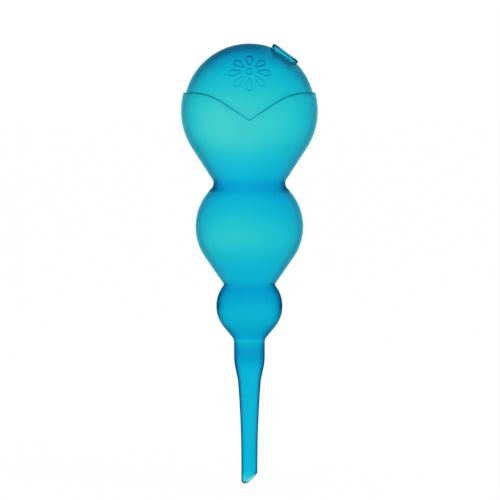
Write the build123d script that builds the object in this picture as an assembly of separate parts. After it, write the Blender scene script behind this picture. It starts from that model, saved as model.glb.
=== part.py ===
from build123d import *
import math
import os

# Lengths are in millimetres and angles in degrees. Heights are above the soil line, which is on the round
# collar, and drops are below it. The front of the object faces -Y.

# Three bulbs on one upright axis. Each narrows downwards in a cone that leaves its ball smoothly.
GLOBE_DIAMETER = 91.4
GLOBE_HEIGHT = 159.1
GLOBE_CONE_ANGLE = 33.0
MIDDLE_DIAMETER = 72.1
MIDDLE_HEIGHT = 81.8
MIDDLE_CONE_ANGLE = 34.8
LOWER_DIAMETER = 44.3
LOWER_HEIGHT = 28.6
LOWER_CONE_ANGLE = 39.8
UPPER_WAIST_FILLET = 5.0
LOWER_WAIST_FILLET = 1.8

# The spike: a round collar at the soil line, a shoulder, a throat and a slim end with an oblique outlet.
COLLAR_DIAMETER = 20.6
COLLAR_FILLET = 5.2
SHOULDER_DROP = 9.0
SHOULDER_FILLET = 33.0
THROAT_DIAMETER = 15.4
THROAT_DROP = 21.2
THROAT_FILLET = 12.0
SLIM_DIAMETER = 10.8
SLIM_DROP = 78.4
SPIKE_LENGTH = 91.0
NOSE_FILLET = 2.3
NOSE_WIDTH = 2.7
OUTLET_ANGLE = 45.0
OUTLET_TURN = -25.0

# Walls of the moulding, thinnest where the plastic is blown widest.
GLOBE_WALL = 1.2
MIDDLE_WALL = 1.3
LOWER_WALL = 1.8
SPIKE_WALL = 1.1
NOSE_WALL = 0.9

# Two petals stand proud of the dome, left and right, and meet in a notch at the front and at the back. At
# the sides their edges are level, above the globe's middle, and from there they curve down to the notches.
PETAL_STEP = 1.8
PETAL_SIDE_RISE = 12.3
PETAL_NOTCH_DEPTH = 17.7
PETAL_SLOPE = 33.6
PETAL_ARC_RADIUS = 40.0
PETAL_EDGE_FILLET = 0.7
PETAL_NOTCH_FILLET = 0.8
DOME_RISE = 1.0

# Raised rosette on the front of the dome, drawn in a round line: drops about a ring.
ROSETTE_LATITUDE = 35.0
ROSETTE_DIAMETER = 28.0
DROP_COUNT = 8
DROP_LENGTH = 9.0
DROP_WIDTH = 5.4
DROP_POINT_DIAMETER = 0.6
RING_DIAMETER = 5.4
RELIEF_LINE = 0.9
RELIEF_HEIGHT = 0.5

# The filler hole, its grommet and its stopper, on an axis that leans from the dome's middle.
FILLER_TILT = 33.3
FILLER_TURN = -10.0
SEAT_DIAMETER = 21.2
BORE_DIAMETER = 15.0
GROMMET_WALL = 1.2
GROMMET_FLANGE_DIAMETER = 20.0
GROMMET_FLANGE_THICKNESS = 0.9
GROMMET_LIP_DIAMETER = 20.0
GROMMET_LIP_THICKNESS = 2.3
LIP_CHAMFER = 0.8
HEAD_DIAMETER = 20.4
HEAD_LOW_EDGE = 0.8
HEAD_HIGH_EDGE = 2.0
HEAD_CROWN_RADIUS = 130.0
HEAD_FILLET = 0.3
NAIL_CHAMFER = 0.3
SHANK_REACH = 0.7
SHANK_WALL = 1.6
SHANK_CHAMFER = 0.6

# Clearances.
GROMMET_GAP = 0.05
STOPPER_GAP = 0.05
SEAT_GAP = 0.05

# Derived sizes.
GLOBE_RADIUS = GLOBE_DIAMETER / 2
MIDDLE_RADIUS = MIDDLE_DIAMETER / 2
LOWER_RADIUS = LOWER_DIAMETER / 2
COLLAR_RADIUS = COLLAR_DIAMETER / 2
THROAT_RADIUS = THROAT_DIAMETER / 2
SLIM_RADIUS = SLIM_DIAMETER / 2
DOME_RADIUS = GLOBE_RADIUS - PETAL_STEP
DOME_HEIGHT = GLOBE_HEIGHT + DOME_RISE
BORE_RADIUS = BORE_DIAMETER / 2
GROMMET_RADIUS = BORE_RADIUS + GROMMET_WALL
HOLE_RADIUS = GROMMET_RADIUS + GROMMET_GAP
SEAT_DISTANCE = math.sqrt(DOME_RADIUS**2 - (SEAT_DIAMETER / 2) ** 2)
PETAL_SIDE_HEIGHT = GLOBE_HEIGHT + PETAL_SIDE_RISE
PETAL_NOTCH_HEIGHT = PETAL_SIDE_HEIGHT - PETAL_NOTCH_DEPTH


def inward(angle):
    """Direction down and towards the axis, at this angle from it."""
    turn = math.radians(angle)
    return Vector(-math.sin(turn), -math.cos(turn))


def cone_start(radius, height, angle):
    """Point where a cone of this angle leaves a ball smoothly."""
    turn = math.radians(angle)
    return Vector(radius * math.cos(turn), height - radius * math.sin(turn))


def meet_ball(start, direction, radius, height):
    """Point where a line from start first meets a ball on the axis."""
    offset = start - Vector(0, height)
    along = offset.dot(direction)
    gap = offset.dot(offset) - radius**2
    return start + direction * (-along - math.sqrt(along**2 - gap))


def ball_arc(start, radius, height, angle):
    """Arc of a ball's outline, from start down to where its cone begins."""
    first = math.degrees(math.atan2(start.Y - height, start.X))
    return CenterArc((0, height), radius, first, -(first + angle))


def soften(sketch, point, radius):
    """Round the corner of a sketch that lies at this point."""
    corner = sketch.vertices().sort_by_distance(point)[0]
    return fillet(corner, radius)


def vessel_outline(globe_wall=0, middle_wall=0, lower_wall=0, spike_wall=0, nose_wall=0):
    """Half outline of the bulbs and the spike, set in by these walls."""
    globe = GLOBE_RADIUS - globe_wall
    middle = MIDDLE_RADIUS - middle_wall
    lower = LOWER_RADIUS - lower_wall
    collar = COLLAR_RADIUS - spike_wall
    throat = THROAT_RADIUS - spike_wall
    slim = SLIM_RADIUS - spike_wall

    top = Vector(0, GLOBE_HEIGHT + globe)
    globe_cone = cone_start(globe, GLOBE_HEIGHT, GLOBE_CONE_ANGLE)
    upper_waist = meet_ball(globe_cone, inward(GLOBE_CONE_ANGLE), middle, MIDDLE_HEIGHT)
    middle_cone = cone_start(middle, MIDDLE_HEIGHT, MIDDLE_CONE_ANGLE)
    lower_waist = meet_ball(middle_cone, inward(MIDDLE_CONE_ANGLE), lower, LOWER_HEIGHT)
    lower_cone = cone_start(lower, LOWER_HEIGHT, LOWER_CONE_ANGLE)
    run_in = (lower_cone.X - collar) / math.tan(math.radians(LOWER_CONE_ANGLE))
    collar_top = Vector(collar, lower_cone.Y - run_in)
    shoulder = Vector(collar, -SHOULDER_DROP)
    throat_end = Vector(throat, -THROAT_DROP)
    taper_end = Vector(slim, -SLIM_DROP)
    nose_corner = Vector(slim, nose_wall - SPIKE_LENGTH)
    nose_middle = Vector(0, nose_wall - SPIKE_LENGTH)

    outline = make_face(
        [
            ball_arc(top, globe, GLOBE_HEIGHT, GLOBE_CONE_ANGLE),
            Line(globe_cone, upper_waist),
            ball_arc(upper_waist, middle, MIDDLE_HEIGHT, MIDDLE_CONE_ANGLE),
            Line(middle_cone, lower_waist),
            ball_arc(lower_waist, lower, LOWER_HEIGHT, LOWER_CONE_ANGLE),
            Line(lower_cone, collar_top),
            Line(collar_top, shoulder),
            Line(shoulder, throat_end),
            TangentArc(taper_end, throat_end, tangent=(0, 1)),
            Line(taper_end, nose_corner),
            Line(nose_corner, nose_middle),
            Line(nose_middle, top),
        ]
    )
    outline = soften(outline, upper_waist, UPPER_WAIST_FILLET + globe_wall)
    outline = soften(outline, lower_waist, LOWER_WAIST_FILLET + middle_wall)
    outline = soften(outline, collar_top, COLLAR_FILLET + spike_wall)
    outline = soften(outline, shoulder, SHOULDER_FILLET - spike_wall)
    outline = soften(outline, throat_end, THROAT_FILLET + spike_wall)
    return soften(outline, nose_corner, NOSE_FILLET - spike_wall)


def above_petals(wall=0):
    """All the space above the petals' edges, set in by this wall."""
    slope = math.radians(PETAL_SLOPE)
    notch = Vector(0, PETAL_NOTCH_HEIGHT - wall / math.cos(slope))
    level = PETAL_SIDE_HEIGHT - wall
    bend = Vector((level - notch.Y) / math.tan(slope), level)
    far = bend.X + GLOBE_DIAMETER
    top = level + GLOBE_DIAMETER
    side = make_face(Polyline(notch, bend, (far, level), (far, top), (0, top), close=True))
    side = soften(side, bend, PETAL_ARC_RADIUS - wall)
    both = soften(side + mirror(side, Plane.YZ), notch, PETAL_NOTCH_FILLET)
    return extrude(Plane.XZ * both, GLOBE_DIAMETER, both=True)


def filler_plane(distance):
    """Plane across the filler's axis, this far from the dome's middle."""
    lean = math.radians(FILLER_TILT)
    turn = math.radians(FILLER_TURN)
    axis = Vector(
        math.sin(lean) * math.cos(turn), math.sin(lean) * math.sin(turn), math.cos(lean)
    )
    return Plane(Vector(0, 0, DOME_HEIGHT) + axis * distance, x_dir=(0, 1, 0), z_dir=axis)


def is_petal_edge(edge):
    """Whether an edge runs round the globe above the petals' notches."""
    centre = Vector(0, 0, GLOBE_HEIGHT)
    start, middle, end = (edge @ place for place in (0.1, 0.5, 0.9))
    depths = [abs((point - centre).length - GLOBE_RADIUS) for point in (start, middle, end)]
    lowest = min(start.Z, middle.Z, end.Z)
    turn = abs(math.atan2(start.Y, start.X) - math.atan2(end.Y, end.X))
    on_globe = max(depths) < SEAT_GAP
    return on_globe and lowest > PETAL_NOTCH_HEIGHT - PETAL_STEP and turn > PETAL_EDGE_FILLET / GLOBE_RADIUS


def with_dome(petals, wall=0):
    """Petals and bulbs joined with the dome, which has a flat for the filler."""
    dome = Pos(0, 0, DOME_HEIGHT) * Sphere(DOME_RADIUS - wall)
    shaving = Cylinder(SEAT_DIAMETER, SEAT_DIAMETER, align=(Align.CENTER, Align.CENTER, Align.MIN))
    return petals + dome - filler_plane(SEAT_DISTANCE - wall) * shaving


def outside():
    """Outer shape of the moulding, solid."""
    petals = revolve(Plane.XZ * vessel_outline(), Axis.Z) - above_petals()
    petals = fillet(petals.edges().filter_by(is_petal_edge), PETAL_EDGE_FILLET)
    return with_dome(petals) + rosette()


def inside():
    """Space inside the moulding."""
    outline = vessel_outline(GLOBE_WALL, MIDDLE_WALL, LOWER_WALL, SPIKE_WALL, NOSE_WALL)
    return with_dome(revolve(Plane.XZ * outline, Axis.Z) - above_petals(GLOBE_WALL), GLOBE_WALL)


def drop_outline(inset=0):
    """One drop of the rosette, set in: a round end outwards, drawn to a small round point."""
    round_end = DROP_WIDTH / 2
    point_end = DROP_POINT_DIAMETER / 2 + RELIEF_LINE
    outer = Pos(ROSETTE_DIAMETER / 2 - round_end, 0)
    inner = Pos(ROSETTE_DIAMETER / 2 - DROP_LENGTH + point_end, 0)
    ends = [outer * Circle(round_end - inset).edge(), inner * Circle(point_end - inset).edge()]
    return make_hull(ends)


def rosette():
    """The raised rosette, as a layer on the dome."""
    latitude = math.radians(ROSETTE_LATITUDE)
    facing = Vector(0, -math.cos(latitude), math.sin(latitude))
    middle = Plane(Vector(0, 0, DOME_HEIGHT), x_dir=(1, 0, 0), z_dir=facing)
    ring = Circle(RING_DIAMETER / 2) - Circle(RING_DIAMETER / 2 - RELIEF_LINE)
    drops = PolarLocations(0, DROP_COUNT) * (drop_outline() - drop_outline(RELIEF_LINE))
    column = extrude(middle * (ring + drops), GLOBE_DIAMETER)
    layer = Sphere(DOME_RADIUS + RELIEF_HEIGHT) - Sphere(DOME_RADIUS - RELIEF_HEIGHT)
    return column & Pos(0, 0, DOME_HEIGHT) * layer


def outlet_cut():
    """Wedge below the oblique outlet."""
    size = SPIKE_LENGTH
    start = -SLIM_RADIUS + NOSE_WIDTH
    block = Pos(start, 0, -SPIKE_LENGTH) * Rot(0, -OUTLET_ANGLE, 0) * Box(
        size, size, size, align=(Align.CENTER, Align.CENTER, Align.MAX)
    )
    return Rot(0, 0, OUTLET_TURN) * block


def make_reservoir():
    """The hollow moulding."""
    hole = filler_plane(SEAT_DISTANCE) * Cylinder(HOLE_RADIUS, SEAT_DIAMETER)
    return outside() - inside() - hole - outlet_cut()


def make_grommet():
    """The soft bush: a flange outside, a groove for the dome's wall and a lip inside."""
    flange = GROMMET_FLANGE_DIAMETER / 2
    lip = GROMMET_LIP_DIAMETER / 2
    flange_foot = SEAT_GAP
    flange_top = flange_foot + GROMMET_FLANGE_THICKNESS
    lip_top = -GLOBE_WALL - SEAT_GAP
    lip_foot = lip_top - GROMMET_LIP_THICKNESS
    profile = make_face(
        Polyline(
            (BORE_RADIUS, lip_foot),
            (lip - LIP_CHAMFER, lip_foot),
            (lip, lip_foot + LIP_CHAMFER),
            (lip, lip_top),
            (GROMMET_RADIUS, lip_top),
            (GROMMET_RADIUS, flange_foot),
            (flange, flange_foot),
            (flange, flange_top - NAIL_CHAMFER),
            (flange - NAIL_CHAMFER, flange_top),
            (BORE_RADIUS, flange_top),
            close=True,
        )
    )
    return filler_plane(SEAT_DISTANCE) * revolve(Plane.XZ * profile, Axis.Z)


def crown_middle(head_foot):
    """Middle of the ball whose surface is the head's top, from its low edge to its high one."""
    low = Vector(0, -HEAD_DIAMETER / 2, head_foot + HEAD_LOW_EDGE)
    high = Vector(0, HEAD_DIAMETER / 2, head_foot + HEAD_HIGH_EDGE)
    chord = high - low
    down = Vector(0, chord.Z, -chord.Y).normalized()
    return low + chord * 0.5 + down * math.sqrt(HEAD_CROWN_RADIUS**2 - (chord.length / 2) ** 2)


def make_stopper():
    """The stopper: a crowned head, higher on the uphill side for a fingertip, and a hollow shank."""
    head = HEAD_DIAMETER / 2
    shank = BORE_RADIUS - STOPPER_GAP
    hollow = shank - SHANK_WALL
    head_foot = SEAT_GAP + GROMMET_FLANGE_THICKNESS + SEAT_GAP
    head_top = head_foot + HEAD_HIGH_EDGE + HEAD_DIAMETER
    shank_foot = -GLOBE_WALL - SEAT_GAP - GROMMET_LIP_THICKNESS - SHANK_REACH
    profile = make_face(
        Polyline(
            (0, head_top),
            (head, head_top),
            (head, head_foot + NAIL_CHAMFER),
            (head - NAIL_CHAMFER, head_foot),
            (shank, head_foot),
            (shank, shank_foot + SHANK_CHAMFER),
            (shank - SHANK_CHAMFER, shank_foot),
            (hollow, shank_foot),
            (hollow, head_foot),
            (0, head_foot),
            close=True,
        )
    )
    crown = Pos(crown_middle(head_foot)) * Rot(90, 0, 0) * Sphere(HEAD_CROWN_RADIUS)
    stopper = revolve(Plane.XZ * profile, Axis.Z) & crown
    rim = stopper.faces().sort_by(Axis.Z)[-1].edges()
    return filler_plane(SEAT_DISTANCE) * fillet(rim, HEAD_FILLET)


if __name__ == "__main__":
    os.makedirs("parts", exist_ok=True)
    export_step(make_reservoir(), "parts/reservoir.step")
    export_step(make_grommet(), "parts/filler_grommet.step")
    export_step(make_stopper(), "parts/filler_stopper.step")
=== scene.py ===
"""Watering globe: a hazy turquoise moulding of three bulbs on a soil spike, with a stoppered filler.

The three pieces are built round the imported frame, dressed, and set in a plain studio. Lengths of the
object are in millimetres until they reach a mesh, which is in metres, and the studio's are in metres.
Fields that are angles are in degrees unless they say otherwise. The front faces -Y and +Z is up.
"""

from __future__ import annotations

import logging
import math
from collections.abc import Sequence
from dataclasses import dataclass
from enum import Enum
from typing import Any

import bmesh
import bpy
import numpy as np
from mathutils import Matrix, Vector

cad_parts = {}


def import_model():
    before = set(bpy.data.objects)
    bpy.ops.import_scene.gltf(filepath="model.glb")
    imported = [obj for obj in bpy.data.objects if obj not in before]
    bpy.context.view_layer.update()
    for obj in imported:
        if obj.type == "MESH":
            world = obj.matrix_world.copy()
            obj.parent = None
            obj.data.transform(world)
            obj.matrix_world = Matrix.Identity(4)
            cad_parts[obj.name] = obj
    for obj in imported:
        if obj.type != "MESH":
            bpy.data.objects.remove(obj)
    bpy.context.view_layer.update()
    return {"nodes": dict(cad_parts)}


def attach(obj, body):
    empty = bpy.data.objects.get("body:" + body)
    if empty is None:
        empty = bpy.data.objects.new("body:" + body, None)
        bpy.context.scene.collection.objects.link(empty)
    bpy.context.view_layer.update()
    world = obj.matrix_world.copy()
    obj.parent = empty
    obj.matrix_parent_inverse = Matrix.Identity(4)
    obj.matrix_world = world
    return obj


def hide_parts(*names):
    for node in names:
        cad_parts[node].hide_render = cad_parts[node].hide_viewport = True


LOG = logging.getLogger("watering_globe")
MM = 0.001
# Rounds of each solver, more than it needs to settle.
SOLVE_ROUNDS = 40
# Edges that turn by more than this stay sharp, in degrees.
CREASE_ANGLE = 40.0

Tree = bpy.types.NodeTree
Socket = bpy.types.NodeSocket


class Side(Enum):
    """The two faces of the moulding's wall."""

    OUTSIDE = "outside"
    INSIDE = "inside"


class Body(Enum):
    """The bodies that the pieces move with."""

    VESSEL = "vessel"
    STOPPER = "stopper"


class Slot(Enum):
    """Names for the material slots, which nothing here uses."""

    MOULDING = "tinted_moulding"
    SEAL = "soft_seal"
    STOPPER = "stopper_moulding"


class Share(Enum):
    """What the points of a piece tell its material."""

    INNER = "inner"
    PAINTED_RIM_SHADE = "painted_rim_shade"
    PAINTED_GLOW = "pale"


def linear(colour: str) -> tuple[float, float, float, float]:
    """Turn an sRGB hex colour into the linear one that a socket takes.

    Args:
        colour: Six hex digits after a hash.

    Returns:
        Red, green, blue and a full alpha.
    """
    parts = []
    for place in (1, 3, 5):
        level = int(colour[place : place + 2], 16) / 255
        parts.append(level / 12.92 if level <= 0.04045 else ((level + 0.055) / 1.055) ** 2.4)
    return parts[0], parts[1], parts[2], 1.0


def add_node(
    tree: Tree, kind: str, inputs: dict[str | int, Any] | None = None, **settings: Any
) -> bpy.types.Node:
    """Add a node with its settings and links.

    Args:
        tree: The tree that gets the node.
        kind: Blender's name for the node, without its ShaderNode.
        inputs: Socket names or places, each with a value or with another node's output.
        settings: Properties of the node itself.

    Returns:
        The new node.
    """
    node = tree.nodes.new("ShaderNode" + kind)
    for name, value in settings.items():
        setattr(node, name, value)
    for socket, value in (inputs or {}).items():
        if isinstance(value, Socket):
            tree.links.new(value, node.inputs[socket])
        else:
            node.inputs[socket].default_value = value
    return node


def new_tree(owner: bpy.types.Material | bpy.types.World) -> Tree:
    """Give a material or a world an empty node tree.

    Args:
        owner: The material or the world.

    Returns:
        Its tree, with no node in it.
    """
    owner.use_nodes = True
    owner.node_tree.nodes.clear()
    return owner.node_tree


@dataclass(frozen=True)
class TintedPlastic:
    """A see-through plastic, tinted all through, that mirrors most where the eye looks along it.

    The points of a piece may carry three shares: inner marks the inside of a hollow wall, painted rim
    shade the rims painted navy, a painted dark reflection, where the plastic is thick, and pale a
    painted glow.

    Attributes:
        name: What the plastic is, how it was shaped and its colour.
        surface: Colour of the light that passes one face.
        tint: Colour that a long way through the plastic goes towards.
        density: How soon it gets there, per metre.
        ior: How strongly it bends light.
        bloom: Colour of the milk in its skin.
        milk: Share of that milk.
        painted_navy_rim: Painted dark reflection, the navy its rims are painted where the plastic is
            thick.
        smooth: Roughness of its outside.
        haze_mm: Size of the slow clouds in its polish.
        grain_mm: Size of the grain of its skin.
        grain_depth_mm: Depth of that grain.
        streak_mm: Width of the lines drawn along it.
        streak_depth_mm: Depth of those lines.
        rough: Roughness of the inside of a hollow wall.
        painted_glow_colour: Colour of the light that passes one face where it is painted pale, a painted
            glow.
        painted_rim_reflection: Painted reflection, the colour its rims are painted where it is thin.
        inner_shine: Colour that its faces mirror from within.
        rim_mirror: How strongly a thin rim mirrors its painted reflection.
        clear_below: Fresnel share under which a face mirrors nothing.
        deep_reach: Fresnel share at which a rim with painted shade mirrors in full.
        navy_from: Painted rim shade share from which a rim has its full painted navy.
        drift: Least and most that the clouds change polish and the painted glow by.
        streak_squash: Width of a drawn line for its length.
        haze_detail: How many finer layers the clouds have.
        grain_detail: How many finer layers the grain has.
        streak_detail: How many finer layers the drawn lines have.
    """

    name: str
    surface: str
    tint: str
    density: float
    ior: float
    bloom: str
    milk: float
    painted_navy_rim: str
    smooth: float
    haze_mm: float
    grain_mm: float
    grain_depth_mm: float
    streak_mm: float
    streak_depth_mm: float
    rough: float = 0.25
    painted_glow_colour: str = "#FFFAF4"
    painted_rim_reflection: str = "#5ECBCE"
    inner_shine: str = "#F0FCFF"
    rim_mirror: float = 1.3
    clear_below: float = 0.045
    deep_reach: float = 0.08
    navy_from: float = 0.4
    drift: tuple[float, float] = (0.8, 1.2)
    streak_squash: float = 0.04
    haze_detail: float = 3.0
    grain_detail: float = 2.0
    streak_detail: float = 1.0

    def clouds(self, tree: Tree, place: Socket) -> Socket:
        """Draw the slow clouds.

        Args:
            tree: The material's tree.
            place: Where a point lies.

        Returns:
            What polish and the painted glow are multiplied by.
        """
        noise = {"Vector": place, "Scale": 1 / (self.haze_mm * MM), "Detail": self.haze_detail}
        haze = add_node(tree, "TexNoise", noise).outputs["Fac"]
        least, most = self.drift
        return add_node(tree, "MapRange", {"Value": haze, "To Min": least, "To Max": most}).outputs[0]

    def relief(self, tree: Tree, place: Socket) -> Socket:
        """Draw the lines and the grain of the skin.

        Args:
            tree: The material's tree.
            place: Where a point lies.

        Returns:
            Which way the skin faces.
        """
        squash = (1.0, 1.0, self.streak_squash)
        drawn = add_node(tree, "Mapping", {"Vector": place, "Scale": squash}).outputs[0]
        layers = (
            (drawn, self.streak_mm, self.streak_depth_mm, self.streak_detail),
            (place, self.grain_mm, self.grain_depth_mm, self.grain_detail),
        )
        facing = {}
        for where, size, depth, detail in layers:
            noise = {"Vector": where, "Scale": 1 / (size * MM), "Detail": detail}
            height = add_node(tree, "TexNoise", noise).outputs["Fac"]
            bump = {"Height": height, "Distance": depth * MM, "Strength": 1.0, **facing}
            facing = {"Normal": add_node(tree, "Bump", bump).outputs["Normal"]}
        return facing["Normal"]

    def mirror(self, tree: Tree, normal: Socket, inner: Socket, painted_rim_shade: Socket) -> tuple[Socket, Socket]:
        """Work out what the faces mirror, with the painted reflection and painted shade at the rims.

        Args:
            tree: The material's tree.
            normal: Which way the skin faces.
            inner: Share that marks the inside of the wall.
            painted_rim_shade: Share that marks rims painted navy where the plastic is thick.

        Returns:
            The mirrored share and its colour, painted at the rims.
        """
        fresnel = add_node(tree, "Fresnel", {"IOR": self.ior, "Normal": normal}).outputs[0]
        behind = add_node(tree, "NewGeometry").outputs["Backfacing"]
        within = add_node(tree, "Math", {0: behind, 1: inner}, operation="MAXIMUM").outputs[0]
        # A thin rim mirrors in full only where the eye looks along it, a rim with painted shade much
        # sooner.
        full = add_node(tree, "MapRange", {"Value": painted_rim_shade, "To Min": 1.0, "To Max": self.deep_reach})
        weight = add_node(tree, "MapRange", {"Value": painted_rim_shade, "To Min": self.rim_mirror, "To Max": 1.0})
        rise = {"Value": fresnel, "From Min": self.clear_below}
        steep = add_node(tree, "MapRange", {**rise, "From Max": full.outputs[0]}).outputs[0]
        outer = add_node(tree, "Math", {0: steep, 1: weight.outputs[0]}, operation="MULTIPLY")
        plain = add_node(tree, "MapRange", rise)
        share = add_node(tree, "Mix", {0: within, 2: outer.outputs[0], 3: plain.outputs[0]})
        # Painted reflection at the rims: painted bright teal where the plastic is thin, painted navy
        # shade where it is thick, and nearly white from within.
        navy = add_node(tree, "MapRange", {"Value": painted_rim_shade, "From Max": self.navy_from}).outputs[0]
        rim = add_node(tree, "MixRGB", {0: navy, 1: linear(self.painted_rim_reflection), 2: linear(self.painted_navy_rim)})
        colour = add_node(tree, "MixRGB", {0: within, 1: rim.outputs[0], 2: linear(self.inner_shine)})
        return share.outputs[0], colour.outputs[0]

    def material(self) -> bpy.types.Material:
        """Make the material.

        Returns:
            A bending and mirroring surface with a little milk, painted rims and a painted glow, over an
            absorbing volume.
        """
        material = bpy.data.materials.new(self.name)
        tree = new_tree(material)
        place = add_node(tree, "TexCoord").outputs["Object"]
        drift, normal = self.clouds(tree, place), self.relief(tree, place)
        inner, painted_rim_shade, pale = (
            add_node(tree, "Attribute", attribute_name=kind.value).outputs["Fac"] for kind in Share
        )
        share, painted_rim_reflection = self.mirror(tree, normal, inner, painted_rim_shade)
        # Painted glow: where pale is high, the light through a face is painted paler and warmer.
        pale = add_node(tree, "Math", {0: pale, 1: drift}, operation="MULTIPLY").outputs[0]
        colour = add_node(tree, "MixRGB", {0: pale, 1: linear(self.surface), 2: linear(self.painted_glow_colour)})
        skin = add_node(tree, "MapRange", {"Value": inner, "To Min": self.smooth, "To Max": self.rough})
        rough = add_node(tree, "Math", {0: skin.outputs[0], 1: drift}, operation="MULTIPLY")
        polish = {"Roughness": rough.outputs[0], "Normal": normal}
        through = {"Color": colour.outputs[0], "IOR": self.ior, **polish}
        clear = add_node(tree, "BsdfRefraction", through).outputs[0]
        # The gloss carries the painted rim reflection and the painted rim shade.
        gloss = add_node(tree, "BsdfAnisotropic", {"Color": painted_rim_reflection, **polish}).outputs[0]
        glass = add_node(tree, "MixShader", {0: share, 1: clear, 2: gloss}).outputs[0]
        bloom = add_node(tree, "BsdfDiffuse", {"Color": linear(self.bloom)}).outputs[0]
        shader = add_node(tree, "MixShader", {0: self.milk, 1: glass, 2: bloom})
        depth = {"Color": linear(self.tint), "Density": self.density}
        inside = add_node(tree, "VolumeAbsorption", depth)
        ends = {"Surface": shader.outputs[0], "Volume": inside.outputs[0]}
        add_node(tree, "OutputMaterial", ends)
        return material


# Blow-moulded PVC: clear turquoise all through, so the wall goes dark blue where the eye looks along it,
# with slow clouds from the cooling and faint lines drawn along the blow. Its rims are painted, teal
# where thin and navy shade where thick, a painted reflection. Its skin is finer than shows, and is drawn
# as coarse as it needs.
BLOWN_PVC = TintedPlastic(
    name="pvc_blow_moulded_turquoise",
    surface="#F6FAF8",
    tint="#00F4FD",
    density=2600.0,
    ior=1.5,
    bloom="#70D8C8",
    milk=0.015,
    painted_navy_rim="#004874",
    smooth=0.04,
    haze_mm=38.0,
    grain_mm=1.4,
    grain_depth_mm=0.001,
    streak_mm=5.0,
    streak_depth_mm=0.02,
)

# Injection-moulded polypropylene: a clearer turquoise with a fine even skin, and a painted navy line,
# a painted dark reflection, along the edge of the head, where the eye looks through the most plastic.
MOULDED_PP = TintedPlastic(
    name="polypropylene_injection_moulded_turquoise",
    surface="#F2FEFF",
    tint="#00F2FA",
    density=220.0,
    ior=1.4,
    bloom="#48C4DC",
    milk=0.05,
    painted_navy_rim="#001E40",
    smooth=0.05,
    haze_mm=9.0,
    grain_mm=0.8,
    grain_depth_mm=0.0008,
    streak_mm=3.0,
    streak_depth_mm=0.004,
)

# Compression-moulded silicone rubber: a soft satin turquoise that blurs what lies behind it. It bends
# light only a little, because it lies snug between two plastics.
SOFT_SILICONE = TintedPlastic(
    name="silicone_rubber_moulded_turquoise",
    surface="#F0FEFF",
    tint="#00F2FA",
    density=150.0,
    ior=1.15,
    bloom="#30B4CC",
    milk=0.03,
    painted_navy_rim="#004874",
    smooth=0.25,
    haze_mm=6.0,
    grain_mm=0.6,
    grain_depth_mm=0.002,
    streak_mm=3.0,
    streak_depth_mm=0.004,
)


@dataclass(frozen=True)
class Run:
    """A straight or round stretch of a half outline, walked downwards with the outside on its left."""

    start: np.ndarray
    end: np.ndarray
    centre: np.ndarray | None = None
    hollow: bool = False

    @property
    def radius(self) -> float:
        """Radius of a round run."""
        return float(np.linalg.norm(self.start - self.centre))

    def outward(self, point: np.ndarray) -> np.ndarray:
        """Find which way is out of the object.

        Args:
            point: A place near the run.

        Returns:
            The unit direction, across the run.
        """
        if self.centre is None:
            along = (self.end - self.start) / np.linalg.norm(self.end - self.start)
            return np.array((-along[1], along[0]))
        away = (point - self.centre) / np.linalg.norm(point - self.centre)
        return -away if self.hollow else away

    def gap(self, point: np.ndarray) -> float:
        """Measure how far outside the run a point lies.

        Args:
            point: The place to measure to.

        Returns:
            The distance, less than nothing on the inside.
        """
        if self.centre is None:
            return float(self.outward(point) @ (point - self.start))
        gap = float(np.linalg.norm(point - self.centre)) - self.radius
        return -gap if self.hollow else gap

    def points(self, step: float, turn_step: float) -> np.ndarray:
        """Set points along the run.

        Args:
            step: Longest distance between two points.
            turn_step: Most that a round run turns between two points, in degrees.

        Returns:
            The points, both ends among them.
        """
        if self.centre is None:
            count = max(1, math.ceil(float(np.linalg.norm(self.end - self.start)) / step))
            return np.linspace(self.start, self.end, count + 1)
        first, last = (math.atan2(*(point - self.centre)[::-1]) for point in (self.start, self.end))
        turn = (last - first + math.pi) % math.tau - math.pi
        count = math.ceil(max(abs(turn) * self.radius / step, abs(math.degrees(turn)) / turn_step, 1))
        angles = first + turn * np.linspace(0, 1, count + 1)
        return self.centre + self.radius * np.column_stack((np.cos(angles), np.sin(angles)))


def soften(runs: list[Run], corner: int, radius: float) -> list[Run]:
    """Round the corner between two runs.

    Args:
        runs: The outline.
        corner: Place of the run before the corner.
        radius: Radius of the rounding.

    Returns:
        The outline with one more run.
    """
    before, after = runs[corner], runs[corner + 1]
    point = before.end
    ways = [run.outward(point) for run in (before, after)]
    hollow = bool(ways[0][0] * ways[1][1] - ways[0][1] * ways[1][0] > 0)
    reach = radius if hollow else -radius
    centre = point + reach * (ways[0] + ways[1]) / np.linalg.norm(ways[0] + ways[1])
    for _ in range(SOLVE_ROUNDS):
        slopes = np.array([run.outward(centre) for run in (before, after)])
        misses = np.array([run.gap(centre) - reach for run in (before, after)])
        centre = centre - np.linalg.solve(slopes, misses)
    first = centre - before.outward(centre) * reach
    last = centre - after.outward(centre) * reach
    return [
        *runs[:corner],
        Run(before.start, first, before.centre, before.hollow),
        Run(first, last, centre, hollow),
        Run(last, after.end, after.centre, after.hollow),
        *runs[corner + 2 :],
    ]


def cone_start(radius: float, height: float, angle: float) -> np.ndarray:
    """Find where a cone leaves a ball smoothly.

    Args:
        radius: Radius of the ball.
        height: Height of its middle.
        angle: Half angle of the cone, in degrees.

    Returns:
        Distance from the axis and height.
    """
    turn = math.radians(angle)
    return np.array((radius * math.cos(turn), height - radius * math.sin(turn)))


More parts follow.
